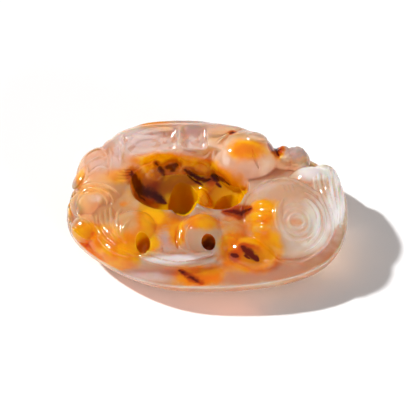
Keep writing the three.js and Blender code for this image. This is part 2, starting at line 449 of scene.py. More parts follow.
hollowForms = [
    # the pierced middle: left, right and back
    dict(at=(-28, 18, 76), size=(27, 36, 44), detail=6),
    dict(at=(8, 15, 77), size=(22, 33, 44), detail=6),
    dict(at=(-12, 32, 81), size=(37, 24, 43), square=0.9, detail=6),
    # the mouths of the cord hole and of the side hole
    dict(at=(-17, 4, 67), size=(11.2, 30, 26), detail=5),
    dict(at=(13, 3, 64), size=(8.6, 21, 22), detail=5),
    # the left and right panels sunk into the back wall
    dict(at=(-44, 77, 101), size=(23, 35, 10), square=0.5, turn=4, lean=17, detail=5),
    dict(at=(-9, 75, 100), size=(9.5, 34, 10), square=0.55, lean=15, detail=5),
]

lumpForms = [
    dict(at=(56.5, -20, 50), size=(34, 49.5, 46), detail=6),    # large haunch
    dict(at=(27, 55, 62), size=(23, 33.5, 38), detail=6),       # small haunch
    dict(at=(-51, -40, 50), size=(18.5, 27, 34), detail=5),     # left brow
    dict(at=(-4, -45, 51), size=(18.5, 26, 35), detail=5),      # right brow
    dict(at=(-30, -55, 46), size=(12.5, 18, 24), square=0.7, turn=10),  # nose
    dict(at=(17, -42, 46), size=(14, 21, 27)),      # cheek
    dict(at=(30, -62, 45), size=(20, 19, 24), turn=-14),        # front paw
    dict(at=(73.5, 24, 57.5), size=(16.5, 19, 27)),     # shoulder lobe
    # small lobes between the haunches, and the fin
    dict(at=(64, 56, 58), size=(10, 15, 21)),
    dict(at=(54, 56, 62), size=(9, 15, 18)),
    dict(at=(83, 37, 50), size=(11, 16, 22)),
    dict(at=(82, 8, 48), size=(15.5, 42, 36), detail=5),
]

# scallops of the mane along the left edge
scallopSpots = [(-65, 67, 61), (-77, 52, 58), (-83, 28, 55), (-86, 2, 50), (-85, -26, 45)]
scallopForm = {"size": (11, 17, 18), "turn": 20}

coreVoxel = 0.22    # mm


def coreOfStone():
    grounds = [roundForm(**form) for form in groundForms]
    ground = fuse(meshObject("ground", [blankShell()] + grounds), coreVoxel)
    cutAway(ground, [meshObject("hollow", [roundForm(**form)]) for form in hollowForms])
    lumps = [roundForm(**form) for form in lumpForms]
    lumps += [roundForm(at=spot, **scallopForm) for spot in scallopSpots]
    core = meshObject("core", [shellOf(ground)] + lumps)
    remove(ground)
    return fuse(core, coreVoxel)


core = coreOfStone()
coreTree = treeOf(core)
print("core", len(core.data.polygons), "faces")


# Carved lines and rolls, traced where they show in the photo, in pixels

def tracedPath(pixels, lift):
    spots = []
    for px, py in pixels:
        spot, facing = seenSpot(coreTree, px, py)
        spots.append(spot + facing * lift)
    return spots


strandSettings = {
    "locks": {
        "width": 1.0, "lift": -0.05, "blunt": 0.35,
        "paths": [
            [(93, 221), (96, 230), (100, 237), (105, 243.5), (112, 249), (121, 253), (131, 256)],
            [(95.5, 213), (96, 223), (99.5, 231), (104.5, 238), (111, 243.5), (119, 248), (129, 252),
             (140, 256)],
            [(100.8, 210), (101, 218), (103.8, 225), (107.5, 231.5), (112, 238), (118.5, 243.5),
             (127, 247.5)],
            [(106, 208), (106.5, 216), (108.5, 224.5), (112, 232), (117, 239), (123, 243)],
            [(111.5, 206), (112, 215), (113, 223), (115.5, 231), (119.5, 237.5)],
            [(122, 207), (118.5, 214), (117.5, 222), (118.5, 229.5), (121.5, 236.5), (127, 242.5)],
            [(131, 218.5), (126, 224), (123.5, 230), (124, 237), (128, 242)],
        ],
    },
    "lip": {
        "width": 1.35, "lift": 0.1, "blunt": 0.3,
        "paths": [
            [(146, 250.5), (158, 254), (170, 256.5), (182, 257), (193, 256), (203, 254), (212, 252)],
            [(139, 255), (152, 259), (165, 262), (178, 263.5), (190, 263.5), (202, 262), (211, 259.5),
             (218, 256)],
        ],
    },
    "fin": {
        "width": 0.9, "lift": 0.0, "blunt": 0.3,
        "paths": [
            [(314, 176), (316, 188), (321, 200), (326, 212), (329, 224)],
            [(318, 171), (320, 184), (324, 197), (329, 210), (332, 222)],
            [(323, 167), (325, 181), (328, 195), (332, 208), (334, 221)],
            [(328, 166), (330, 180), (332, 194), (335, 208), (336, 222)],
            [(333, 169), (335, 182), (336.5, 196), (338, 210), (338, 224)],
            [(337.5, 176), (339.5, 188), (340.5, 201), (341, 214), (340, 227)],
            [(341, 185), (342, 198), (342.5, 211), (341.5, 224)],
        ],
    },
    "toes": {
        "width": 3.0, "lift": -1.0, "blunt": 0.3,
        "paths": [
            [(247, 205), (256, 203), (265, 202.5), (275, 203)],
            [(246, 217.5), (256, 216), (265, 215.5), (276, 215.5)],
            [(249, 230), (257, 229), (266, 228), (276, 227)],
        ],
    },
    "haunch edge": {
        "width": 0.95, "lift": 0.0, "blunt": 0.3,
        "paths": [
            [(248.4, 194), (260.6, 184), (272.8, 179.5), (289.7, 178.8), (299, 182.5), (311, 189.5),
             (321.5, 197), (328, 207.5), (331.5, 219), (331.5, 230), (327.5, 240.5), (319.5, 249.5),
             (309, 256.3), (298.9, 260.5), (286.6, 261), (277.5, 260), (272.8, 255)],
            [(279, 199), (276.5, 206), (276, 214), (277, 222), (280, 230)],
            [(283, 198), (280, 206), (279.5, 214), (281, 223), (286, 233), (294, 239)],
            [(303, 191), (313, 197), (321, 207), (324, 219), (322.5, 232), (315, 243.5), (304, 250.5)],
            [(304, 197), (312, 203), (317.5, 212), (318, 222), (315, 233), (307, 242)],
        ],
    },
    "back edges": {
        "width": 0.7, "lift": 0.0, "blunt": 0.3,
        "paths": [
            [(179, 125), (179, 140), (179, 157), (180, 169)],
            [(229, 132.5), (219, 141), (214.5, 151.5), (213, 163), (212, 175)],
            [(181, 156), (188, 159), (197, 160), (206, 157), (211, 151)],
            [(123, 134), (123, 146), (122, 158)],
            [(238, 184), (243, 191), (247, 199)],
            [(248, 192), (243, 201), (241, 210)],
        ],
    },
    "scroll": {
        "width": 1.0, "lift": 0.0, "blunt": 0.3,
        "paths": [
            [(187, 167), (190, 174), (197, 178), (205, 178), (210, 174)],
            [(201, 165), (199.5, 170), (203, 174), (208, 172), (209, 166), (204, 161), (197, 161),
             (191, 165)],
        ],
    },
    "bridge": {
        "width": 0.7, "lift": -0.05, "blunt": 0.2,
        "paths": [
            [(198, 190), (201, 196), (207, 199)],
            [(199, 198), (205, 201), (211, 203)],
            [(197, 205), (203, 208), (210, 211)],
            [(200, 186), (205, 189), (211, 192)],
        ],
    },
    "curl arcs": {
        "width": 0.6, "lift": 0.0, "blunt": 0.3,
        "paths": [
            [(77, 213), (77, 205.7), (78.5, 198), (82.3, 192.3), (88, 188.5), (94.5, 187.2), (101.5, 189),
             (107, 192.5), (111.5, 197.5), (113, 204)],
            [(80, 207), (80.5, 199.5), (84.2, 194.5), (90.5, 192.3), (96.5, 192), (101.5, 194), (105, 198.5),
             (106.5, 205)],
            [(71.5, 209), (72, 198), (76, 189.5), (84.5, 184.5), (95.5, 182.5), (106, 184), (114.5, 189),
             (120, 196)],
            [(77, 209), (79, 216), (83, 220.5), (88, 222.5)],
            [(70.5, 221), (73.5, 227.5), (78, 233), (84, 237.2), (90.5, 239), (97, 237.5)],
            [(84, 160), (88, 168), (87, 177), (82, 185)],
            [(85, 157), (91, 151.5), (99, 148.5), (107, 150)],
            [(86, 166), (92, 159.5), (100, 156), (108.5, 158.5)],
            [(89, 175), (94, 169), (101, 165.5), (109, 168)],
            [(78, 219), (84, 218.5), (90, 222), (93.5, 228), (92, 234)],
            [(122, 135), (120, 148), (121, 160), (118, 172)],
            [(112, 138), (110, 150), (111, 162), (109, 176)],
            [(97, 147), (103, 150), (107, 156), (108, 164)],
            [(70, 196), (69, 207), (70.5, 218)],
            [(183, 246), (180.5, 236), (181.5, 225), (187, 217), (196, 213.5)],
            [(189, 248), (186.5, 238), (187.5, 228), (192.5, 221)],
            [(178.5, 246.5), (186.5, 251), (196, 254)],
        ],
    },
    "cheek lines": {
        "width": 0.4, "lift": 0.0, "blunt": 0.3,
        "paths": [
            [(118, 169 + 3.2 * i), (125, 170 + 3 * i), (132, 169.5 + 2.6 * i)] for i in range(4)
        ] + [
            [(282 + 4.5 * i, 183.5), (285 + 4.5 * i, 191)] for i in range(3)
        ],
    },
}

ringSettings = {
    "haunch": {
        "px": (297, 220), "count": 3, "first": 1.5, "step": 1.1, "drop": 0.06, "width": 0.55,
        "around": 96, "sides": 8,
    },
}

lobeSunk = 0.45     # share of a lobe's rise that lies in the stone

# low rounded lobes, where they show in the photo: pixel, radii across, up and out of the surface in mm
lobeSettings = {
    "curl": [(91, 206, 2.7, 2.7, 0.8)],
    "petals": [(79, 176, 1.6, 2.8, 0.6)],
    "dome top": [(258, 136, 2.4, 2.0, 0.8)],
    "rough lobes": [
        (284, 150, 1.3, 1.6, 1.2), (291, 147, 1.6, 1.5, 1.4), (298, 150, 1.5, 1.4, 1.2),
        (303, 154, 1.2, 1.3, 1.0), (288, 157, 1.7, 1.4, 1.1), (296, 158, 1.5, 1.3, 1.0),
    ],
    "scroll": [(202, 169, 2.2, 2.0, 1.2)],
    "nose": [(157, 242, 1.7, 1.6, 0.5), (170, 244, 1.7, 1.6, 0.5)],
    "cheek": [(224, 227, 2.2, 2.0, 1.1), (226, 244, 2.6, 1.8, 1.0)],
    "bridge": [(205, 199, 1.3, 2.6, 1.2)],
}

# strands on the hidden back: along and up, in hundredths of the half length and the height
backStrands = {
    "width": 1.0, "lift": -0.12, "blunt": 0.4,
    "paths": [
        [(-60, 74), (-44, 82), (-24, 85), (-4, 82), (11, 74)],
        [(-64, 65), (-46, 72), (-25, 76), (-3, 73), (13, 65)],
        [(-64, 56), (-46, 62), (-25, 66), (-4, 63), (12, 57)],
        [(-58, 49), (-42, 53), (-24, 56), (-7, 54)],
    ],
}

# fine lines cut into the stone, traced in the photo
grooveSettings = {
    "width": 0.6, "lift": 0.02, "blunt": 0.4,
    "paths": [
        [(251.5, 147.5), (253.5, 154), (256.5, 161.5), (259, 168)],
        [(177, 229), (176, 236), (176.5, 243), (178.5, 249)],
        [(132, 168), (140, 166), (149, 162.5), (158, 158)],
    ],
}


def backSpot(along, up):
    start = place(along, 0, up) + np.array([0, 3 * halfWidth, 0])
    spot, facing, index, distance = coreTree.ray_cast(Vector(start), Vector((0, -1, 0)))
    return np.array(spot) + np.array(facing) * backStrands["lift"]


def strandShells():
    s = backStrands
    paths = [([backSpot(along, up) for along, up in path], 1.0) for path in s["paths"]]
    shells = [rollsAlong("back strands", paths, s["width"], s["blunt"])]
    for name, s in strandSettings.items():
        paths = [(tracedPath(pixels, s["lift"]), 1.0) for pixels in s["paths"]]
        shells.append(rollsAlong(name, paths, s["width"], s["blunt"]))
    return shells


def ringShells():
    shells = []
    for name, s in ringSettings.items():
        spot, facing = seenSpot(coreTree, *s["px"])
        shells.append(ringsOn(name, spot, facing, s))
    return shells


def lobeShells():
    shells = []
    points, faces = balls[4]
    for lobes in lobeSettings.values():
        for px, py, across, upwards, out in lobes:
            spot, facing = seenSpot(coreTree, px, py)
            spot = spot - facing * out * lobeSunk
            side = np.cross(viewUp, facing)
            side /= np.linalg.norm(side)
            axes = np.stack([side * across, np.cross(facing, side) * upwards, facing * out])
            shells.append((points @ axes + spot, faces))
    return shells


rimBeadSettings = {
    "width": 0.24,      # mm
    "blunt": 0.1,
    "inset": 0.994,     # share of the outline
    "around": 180,
    "steps": 120,
    "sides": 8,
}


def rimBead():
    # the crisp upper edge of the stone, in three stretches that overlap
    s = rimBeadSettings
    edge = outlineAt(np.linspace(0, 2 * math.pi, s["around"] + 1)) * s["inset"]
    path = np.column_stack([edge, rimLevel(edge[:, 0])])
    half, quarter = s["around"] // 2, s["around"] // 4
    stretches = [path[:half + 2], path[half:], np.roll(path[:-1], quarter, axis=0)[:half + 1]]
    paths = [(stretch, 1.0) for stretch in stretches]
    return rollsAlong("rim bead", paths, s["width"], s["blunt"], s["steps"], s["sides"])


drillSettings = {
    # drawn: how far the mouth is drawn out from front to back, as a share of the diameter
    # colourLayer: the colour painted in and round the hole, for the shade and glow seen in it;
    # holeShadeReach: where that colour ends and is full, as shares of its radius
    "cord hole": {
        "at": (-17, 22, 50), "into": (0, -0.45, -0.89), "diameter": 6.0, "drawn": 1.3,
        "above": 0.6, "depth": 16.0, "colourLayer": "oliveAndHoleShade", "holeShadeReach": (2.2, 1.35),
    },
    "side hole": {
        "at": (13.5, 13, 50), "into": (0, -0.3, -0.95), "diameter": 4.8, "drawn": 1.2,
        "above": 0.6, "depth": 16.0, "colourLayer": "oliveAndHoleShade", "holeShadeReach": (2.2, 1.35),
    },
    # the right pupil has shade painted in it
    "right pupil": {
        "at": (1, -64, 76), "into": (0, 0.35, -0.94), "diameter": 2.7, "drawn": 1.0,
        "above": 4.0, "depth": 6.5, "colourLayer": "pupilShade", "holeShadeReach": (1.12, 0.98),
    },
    "left pupil": {
        "at": (-45, -62, 76), "into": (0.1, 0, -1), "diameter": 2.8, "drawn": 1.25,
        "above": 4.0, "depth": 4.8, "colourLayer": "oliveAndHoleShade", "holeShadeReach": (1.15, 0.98),
    },
}


def drill(s):
    cutter = bmesh.new()
    bmesh.ops.create_cone(
        cutter, cap_ends=True, segments=64, radius1=s["diameter"] / 2, radius2=s["diameter"] / 2,
        depth=s["above"] + s["depth"],
    )
    bmesh.ops.scale(cutter, verts=cutter.verts, vec=(1, s["drawn"], 1))
    bmesh.ops.translate(cutter, verts=cutter.verts, vec=(0, 0, (s["above"] - s["depth"]) / 2))
    up = -Vector(s["into"]).normalized()
    turn = Vector((0, 0, 1)).rotation_difference(up).to_matrix()
    bmesh.ops.rotate(cutter, verts=cutter.verts, cent=(0, 0, 0), matrix=turn)
    bmesh.ops.translate(cutter, verts=cutter.verts, vec=place(*s["at"]).tolist())
    mesh = bpy.data.meshes.new("drill")
    cutter.to_mesh(mesh)
    cutter.free()
    made = bpy.data.objects.new("drill", mesh)
    bpy.context.collection.objects.link(made)
    return made


finishSettings = {
    "voxel": 0.15,          # mm
    "rounds": 3,
    "mostTriangles": 190000,
    "sliver": 0.002,        # mm
    "closingRounds": 6,
}


def looseCrumbs(skin):
    # the faces of every part but the largest
    skin.faces.ensure_lookup_table()
    left = set(skin.faces)
    parts = []
    while left:
        waiting = [left.pop()]
        part = []
        while waiting:
            face = waiting.pop()
            part.append(face)
            for edge in face.edges:
                for beside in edge.link_faces:
                    if beside in left:
                        left.remove(beside)
                        waiting.append(beside)
        parts.append(part)
    parts.sort(key=len)
    return [face for part in parts[:-1] for face in part]


def closeSkin(stone):
    # one closed skin of triangles, without slivers, doubled faces or crumbs
    skin = bmesh.new()
    skin.from_mesh(stone.data)
    bmesh.ops.triangulate(skin, faces=skin.faces)
    bmesh.ops.dissolve_degenerate(skin, edges=skin.edges, dist=finishSettings["sliver"])
    bmesh.ops.triangulate(skin, faces=skin.faces)
    for attempt in range(finishSettings["closingRounds"]):
        crowded = [edge for edge in skin.edges if len(edge.link_faces) > 2]
        spoilt = list({face for edge in crowded for face in edge.link_faces})
        bmesh.ops.delete(skin, geom=spoilt, context="FACES")
        bmesh.ops.delete(skin, geom=looseCrumbs(skin), context="FACES")
        loose = [edge for edge in skin.edges if not edge.link_faces]
        bmesh.ops.delete(skin, geom=loose, context="EDGES")
        rims = [edge for edge in skin.edges if edge.is_boundary]
        filled = bmesh.ops.holes_fill(skin, edges=rims, sides=0)
        bmesh.ops.triangulate(skin, faces=filled["faces"])
        oddEdges = sum(len(edge.link_faces) != 2 for edge in skin.edges)
        if not oddEdges:
            break
    loosePoints = [corner for corner in skin.verts if not corner.link_faces]
    bmesh.ops.delete(skin, geom=loosePoints, context="VERTS")
    skin.to_mesh(stone.data)
    skin.free()
    print("closed, with", oddEdges, "odd edges left")


def grooveCutters():
    s = grooveSettings
    paths = [(tracedPath(pixels, s["lift"]), 1.0) for pixels in s["paths"]]
    return [meshObject("groove", [rollsAlong("groove", [path], s["width"], s["blunt"])]) for path in paths]


def carvedStone():
    s = finishSettings
    shells = [shellOf(core), rimBead()] + strandShells() + ringShells() + lobeShells()
    stone = fuse(meshObject("carved agate", shells), s["voxel"])
    print("fused", len(stone.data.polygons), "faces")
    cutAway(stone, grooveCutters())
    print("grooved", len(stone.data.polygons), "faces")
    cutAway(stone, [drill(bore) for bore in drillSettings.values()])
    print("drilled", len(stone.data.polygons), "faces")
    soften(stone, s["rounds"])
    triangles = len(stone.data.loop_triangles) or len(stone.data.polygons) * 2
    if triangles > s["mostTriangles"]:
        thin = stone.modifiers.new("thin out", "DECIMATE")
        thin.ratio = s["mostTriangles"] / triangles
        settle(stone)
    closeSkin(stone)
    print("carved", len(stone.data.polygons), "faces")
    return stone


def keepInBox(stone):
    # the stone fills the box of the solid exactly
    points, faces = shellOf(stone)
    low, high = points.min(axis=0), points.max(axis=0)
    points = (points - low) / (high - low) * (highCorner - lowCorner) + lowCorner
    stone.data.vertices.foreach_set("co", points.ravel())
    stone.data.update()


stone = carvedStone()
remove(core)


# Where the stone's colours, and the light and shade painted on it, lie: soft patches and thin veins, at
# pixels of the photo

# each patch is (px, py, radius across, radius up, strength), with its radii in pixels
patchSettings = {
    "warm": [
        (95, 205, 38, 45, 0.8), (110, 160, 24, 22, 0.6), (130, 235, 34, 26, 0.8), (235, 170, 26, 20, 0.5),
        (225, 135, 34, 10, 0.6), (262, 250, 26, 18, 0.7), (255, 215, 24, 20, 0.7), (185, 275, 40, 10, 0.4),
        (205, 294, 70, 12, 0.8), (300, 276, 40, 12, 0.6),
    ],
    "lilac": [
        (146, 143, 36, 16, 1.0), (195, 144, 16, 14, 0.8), (163, 241, 12, 11, 0.8), (224, 226, 10, 7, 0.6),
        (182, 259, 40, 6, 0.8), (295, 151, 15, 9, 0.9), (112, 165, 12, 20, 0.4), (72, 188, 5, 12, 0.7),
        (262, 188, 16, 7, 0.5), (148, 277, 32, 8, 0.7), (75, 215, 6, 20, 0.4), (112, 225, 10, 14, 0.4),
        (96, 165, 10, 9, 0.5), (93, 198, 9, 7, 0.4), (117, 158, 6, 14, 0.5),
    ],
    # milky stone, and painted highlights at (95, 198) on the curl and (226, 158) on the small haunch
    "milkAndHighlights": [
        (338, 195, 12, 40, 1.0), (314, 170, 20, 13, 0.8), (322, 222, 14, 34, 0.5), (95, 198, 8, 5, 0.4),
        (226, 158, 5, 12, 0.4), (193, 142, 8, 8, 0.3), (172, 260, 32, 5, 0.8), (303, 226, 32, 34, 0.4),
        (150, 277, 28, 6, 0.4), (262, 186, 18, 8, 0.3),
    ],
    "orange": [
        (151, 218, 18, 15, 1.0), (133, 246, 26, 12, 1.0), (85, 230, 14, 10, 0.9), (92, 250, 28, 14, 1.0),
        (84, 244, 20, 14, 1.0), (102, 259, 24, 10, 1.0), (124, 263, 18, 7, 0.8), (116, 256, 24, 10, 0.9),
        (203, 220, 20, 11, 1.0), (247, 148, 19, 9, 0.9), (262, 208, 16, 12, 1.0), (262, 219, 15, 10, 0.9),
        (198, 276, 26, 11, 1.0), (122, 176, 20, 9, 0.8), (232, 133, 7, 3, 0.8), (276, 146, 6, 9, 0.9),
        (297, 222, 7, 4, 0.5), (158, 160, 30, 9, 1.0), (201, 168, 18, 12, 1.0), (123, 204, 4, 3, 0.8),
        (235, 246, 20, 15, 1.0), (268, 248, 15, 19, 0.9), (147, 192, 22, 26, 1.0), (80, 176, 6, 11, 0.7),
        (90, 190, 16, 6, 0.5), (108, 234, 18, 12, 0.7), (222, 180, 22, 15, 1.0), (236, 226, 14, 22, 0.6),
        (185, 212, 40, 14, 1.0), (345, 240, 8, 8, 0.5), (240, 192, 12, 17, 0.9), (176, 230, 10, 18, 1.0),
        (212, 170, 16, 11, 0.9), (248, 258, 30, 16, 1.0), (110, 195, 10, 8, 0.3), (146, 236, 15, 14, 0.8),
        (170, 186, 30, 18, 1.0), (262, 238, 14, 16, 0.7), (250, 149, 24, 13, 0.8),
    ],
    "ember": [
        (86, 247, 16, 9, 0.7), (96, 258, 22, 7, 0.6), (198, 279, 20, 8, 0.6), (176, 172, 24, 9, 0.5),
        (247, 149, 15, 6, 0.6), (205, 171, 12, 6, 0.4), (204, 212, 12, 6, 0.4),
    ],
    # the stone's deep orange, and at (177, 234) painted shade along the crease between nose and right eye
    "amberAndCreaseShade": [
        (168, 182, 24, 13, 0.8), (190, 196, 36, 20, 0.9), (222, 192, 22, 17, 0.8), (248, 257, 18, 11, 0.9),
        (243, 210, 18, 6, 0.8), (180, 216, 12, 7, 0.7), (212, 178, 24, 6, 0.9), (177, 234, 3, 14, 0.5),
        (88, 250, 16, 4, 0.3), (200, 279, 10, 6, 0.4), (276, 150, 4, 9, 0.8), (152, 190, 20, 12, 0.8),
        (248, 149, 16, 8, 0.6), (158, 203, 13, 10, 0.8), (232, 246, 12, 7, 0.5), (200, 276, 12, 6, 0.4),
    ],
    # yellow in the stone, and at (152, 217) a painted glow where light comes through the left brow
    "goldAndGlow": [
        (152, 217, 13, 10, 0.9), (160, 208, 12, 7, 0.6), (84, 232, 9, 6, 0.35), (128, 248, 12, 6, 0.6),
        (262, 207, 9, 4, 0.5), (206, 214, 10, 4, 0.5),
    ],
    # the first two, in the pierced holes, are painted shade and glow; the rest are the stone's own tone
    "oliveAndHoleShade": [
        (182, 207, 13, 11, 1.0), (226, 204, 10, 8, 1.0), (254, 259, 14, 10, 0.6), (270, 250, 8, 12, 0.5),
        (206, 272, 14, 5, 0.5),
    ],
    "pupilShade": [],     # painted shade, only in the right pupil, which drillSettings paints
    "plate": [
        (290, 274, 60, 9, 0.8), (330, 250, 16, 22, 0.7), (240, 276, 30, 9, 0.7), (155, 272, 22, 6, 0.4),
        (240, 166, 24, 22, 0.9), (210, 294, 60, 9, 0.8), (105, 158, 22, 22, 0.7), (90, 165, 12, 16, 0.6),
    ],
}

# on the hidden sides: reach in mm, strength, then the place in hundredths
backPatches = {
    "warm": [(9, 0.7, -35, 95, 60), (8, 0.6, 60, 70, 40), (10, 0.5, 0, -20, 0), (7, 0.6, -90, 30, 45)],
    "lilac": [(6, 0.7, -5, 98, 75), (5, 0.6, 35, 90, 55)],
    "milkAndHighlights": [(7, 0.5, -55, 92, 60), (6, 0.5, 90, 30, 35)],
    "orange": [(3.5, 0.9, -2, 100, 52), (3.5, 0.8, -40, 98, 80), (4, 0.6, 30, -10, 0), (3, 0.7, -95, 10, 45)],
    "amberAndCreaseShade": [(2.5, 0.7, 3, 100, 55)],
}


veinSettings = {
    # where a vein's colour and the amber round it end and are full, as shares of its width
    "edge": (1.35, 0.1),
    "halo": (2.9, 0.9),
    # what makes the edges ragged: height, size in mm, octaves and shift of the noise
    "wander": [(0.22, 1.2, 3, 27.0), (0.16, 0.45, 2, 63.0)],
    # paths at pixels of the photo, each with a width in mm
    "paths": [
        ([(131.5, 171.4), (133.8, 180.6), (137.6, 188.5), (145.2, 192), (152.9, 194.5), (159.8, 199.7),
          (166.7, 204)], 1.65),
        ([(165, 167.6), (172, 166.8), (178, 164)], 1.0),
        ([(159, 167), (162, 171), (164, 174.5), (165, 175)], 0.9),
        ([(183.5, 169), (190, 173.5), (197, 178), (204, 180.5), (211, 179)], 0.8),
        ([(211.5, 175.5), (218, 178), (225.5, 181)], 1.2),
        ([(223, 211.5), (231, 211), (237, 211.5), (240, 214), (245.5, 211), (252, 208.3)], 0.8),
        ([(231, 255), (239, 256.5)], 0.7),
        ([(241.5, 246), (246, 250.5), (252, 255), (259, 261)], 1.05),
        ([(230, 133), (236, 132.5)], 0.4),
        ([(272.5, 141), (276, 148), (279, 157)], 0.6),
        ([(179, 270), (190, 277), (204, 284)], 0.4),
        ([(132.5, 173), (136, 181), (140.5, 187.5), (147, 192)], 1.5),
        ([(170, 171), (176, 169.5)], 0.5),
        ([(155, 162), (159, 166.5)], 0.4),
        ([(187, 175), (195, 181), (204, 186)], 0.5),
        ([(225, 181), (230, 186)], 0.5),
        ([(137, 190), (140, 197), (146, 201)], 0.6),
        ([(216, 183), (222, 188)], 0.5),
        ([(244, 255), (250, 259)], 0.4),
    ],
    # paths on the back, in the same hundredths as the strands there
    "backPaths": [([(-16, 52), (-8, 55), (0, 62), (6, 64)], 0.5), ([(-40, 76), (-35, 80)], 0.4)],
}

paintSettings = {
    "ragged": 0.24,             # how far noise draws the patches' edges in and out, as a share
    "raggedSize": 4.0,          # mm
    "patchEdge": (1.5, 0.45),   # where a patch ends and is full, as shares of its radii
    "leastDeep": 12.5,          # a patch's reach along the line of sight, in pixels
    "deepShare": 0.8,
    # orange stains, and the shade and glow painted in the holes
    "stains": ("orange", "oliveAndHoleShade", "pupilShade"),
    "stainedEdges": 0.9,        # how far a stain hides the painted highlight on carved ridges and the painted shade in grooves
    "rimHighlight": (0.5, 0.15),     # mm from the rim where its painted highlight ends and is full
}


farAway = 1e9


def pointNormals(thing):
    facing = np.empty(len(thing.data.vertices) * 3)
    thing.data.vertices.foreach_get("normal", facing)
    return facing.reshape(-1, 3)


def smoothStep(low, high, value):
    share = np.clip((value - low) / (high - low), 0, 1)
    return share * share * (3 - 2 * share)


def wander(points, size, octaves, shift, softness=0.8, spacing=2.0):
    # soft noise from about -1 to 1, with features of the given size in mm
    moved = points / size + shift
    return np.array([noise.fractal(Vector(spot), softness, spacing, octaves) for spot in moved])


def denseTrace(tree, pixels, gap=0.8):
    # spots on the stone along a path of pixels, every gap pixels
    spots = []
    for (x0, y0), (x1, y1) in zip(pixels, pixels[1:]):
        count = max(2, math.ceil(math.hypot(x1 - x0, y1 - y0) / gap))
        for i in range(count):
            share = i / count
            spots.append(seenSpot(tree, x0 + (x1 - x0) * share, y0 + (y1 - y0) * share)[0])
    return np.array(spots)


def shareOfWidth(points, spots, width, blunt=0.4, atOnce=16):
    # how far each point lies from a path that tapers to its ends, as a share of the path's width
    along = np.linspace(0, 1, len(spots))
    widths = width * np.maximum(np.sin(math.pi * along), 0.02) ** blunt
    nearest = np.full(len(points), farAway)
    for start in range(0, len(spots), atOnce):
        part = slice(start, start + atOnce)
        offset = points[:, None, :] - spots[None, part, :]
        shares = np.sqrt((offset ** 2).sum(axis=2)) / widths[None, part]
        nearest = np.minimum(nearest, shares.min(axis=1))
    return nearest


def shareOfBore(points, s, margin=1.0):
    # how far each point lies from a drilled hole's middle line, as a share of its radius
    into = np.array(Vector(s["into"]).normalized())
    offset = points - place(*s["at"])
    along = offset @ into
    side = offset - along[:, None] * into
    side[:, 1] /= s["drawn"]
    share = np.linalg.norm(side, axis=1) / (s["diameter"] / 2)
    share[(along < -s["above"] - margin) | (along > s["depth"] + margin)] = farAway
    return share


def paintMask(stone, name, values):
    layer = stone.data.attributes.new(name, "FLOAT", "POINT")
    layer.data.foreach_set("value", values.astype(np.float32))


workSettings = {
    # zones of rougher carving: pixel, radii in pixels, height and size of the marks in mm
    "zones": [
        (148, 143, 34, 17, 0.28, 1.4), (195, 143, 15, 14, 0.22, 1.5), (205, 203, 8, 10, 0.24, 0.6),
        (294, 152, 18, 12, 0.16, 0.8), (163, 240, 13, 11, 0.16, 1.0), (226, 232, 12, 12, 0.12, 0.9),
        (200, 170, 14, 9, 0.13, 0.8), (166, 170, 24, 10, 0.16, 0.8), (98, 165, 16, 20, 0.09, 1.3),
        (236, 196, 7, 10, 0.12, 0.8),
    ],
    "zoneDeep": 14.0,               # a zone's reach along the line of sight, in pixels
    "zoneEdge": (1.3, 0.7),         # where a zone ends and is full, as shares of its radii
    "handPolish": (0.035, 2.8),     # height and size of the soft unevenness all over, mm
}


def patchDistance(points, middle, across, upwards, deep):
    # how far each point lies from a spot seen in the photo, as a share of the patch's radii in pixels
    offset = (points - middle) * cameraSettings["pixelsPerMm"]
    views = ((viewRight, across), (viewUp, upwards), (viewForward, deep))
    return np.sqrt(sum((offset @ view / reach) ** 2 for view, reach in views))


def workSurface(stone):
    s = workSettings
    points = shellOf(stone)[0]
    facing = pointNormals(stone)
    tree = treeOf(stone)
    high, size = s["handPolish"]
    rise = high * wander(points, size, octaves=2, shift=5.0)
    for px, py, across, upwards, high, size in s["zones"]:
        distance = patchDistance(points, seenSpot(tree, px, py)[0], across, upwards, s["zoneDeep"])
        near = distance < s["zoneEdge"][0]
        marks = np.zeros(len(points))
        marks[near] = wander(points[near], size, octaves=3, shift=41.0)
        rise += high * marks * smoothStep(*s["zoneEdge"], distance)
    moved = points + facing * rise[:, None]
    stone.data.vertices.foreach_set("co", moved.ravel())
    stone.data.update()
    print("worked the surface")


workSurface(stone)
keepInBox(stone)


def patchMask(name, points, tree, ragged):
    s = paintSettings
    reaches = []
    for px, py, across, upwards, strength in patchSettings[name]:
        deep = max(s["leastDeep"], s["deepShare"] * (across + upwards))
        reaches.append((patchDistance(points, seenSpot(tree, px, py)[0], across, upwards, deep), strength))
    for reach, strength, *at in backPatches.get(name, []):
        reaches.append((np.linalg.norm(points - place(*at), axis=1) / reach, strength))
    mask = np.zeros(len(points))
    for distance, strength in reaches:
        mask = 1 - (1 - mask) * (1 - strength * smoothStep(*s["patchEdge"], distance * ragged))
    for bore in drillSettings.values():
        if bore["colourLayer"] == name:
            mask = np.maximum(mask, smoothStep(*bore["holeShadeReach"], shareOfBore(points, bore)))
    return mask


def shareOfVeins(points, tree):
    # how far each point lies from the nearest vein, as a share of the vein's width
    traces = [(denseTrace(tree, pixels), width) for pixels, width in veinSettings["paths"]]
    for path, width in veinSettings["backPaths"]:
        corners = np.array([backSpot(along, up) for along, up in path])
        steps = np.linspace(0, len(corners) - 1, 10 * len(corners))
        trace = [np.interp(steps, np.arange(len(corners)), corners[:, axis]) for axis in range(3)]
        traces.append((np.stack(trace, axis=1), width))
    nearest = np.full(len(points), farAway)
    for trace, width in traces:
        nearest = np.minimum(nearest, shareOfWidth(points, trace, width))
    for high, size, octaves, shift in veinSettings["wander"]:
        nearest += high * wander(points, size, octaves, shift)
    return nearest


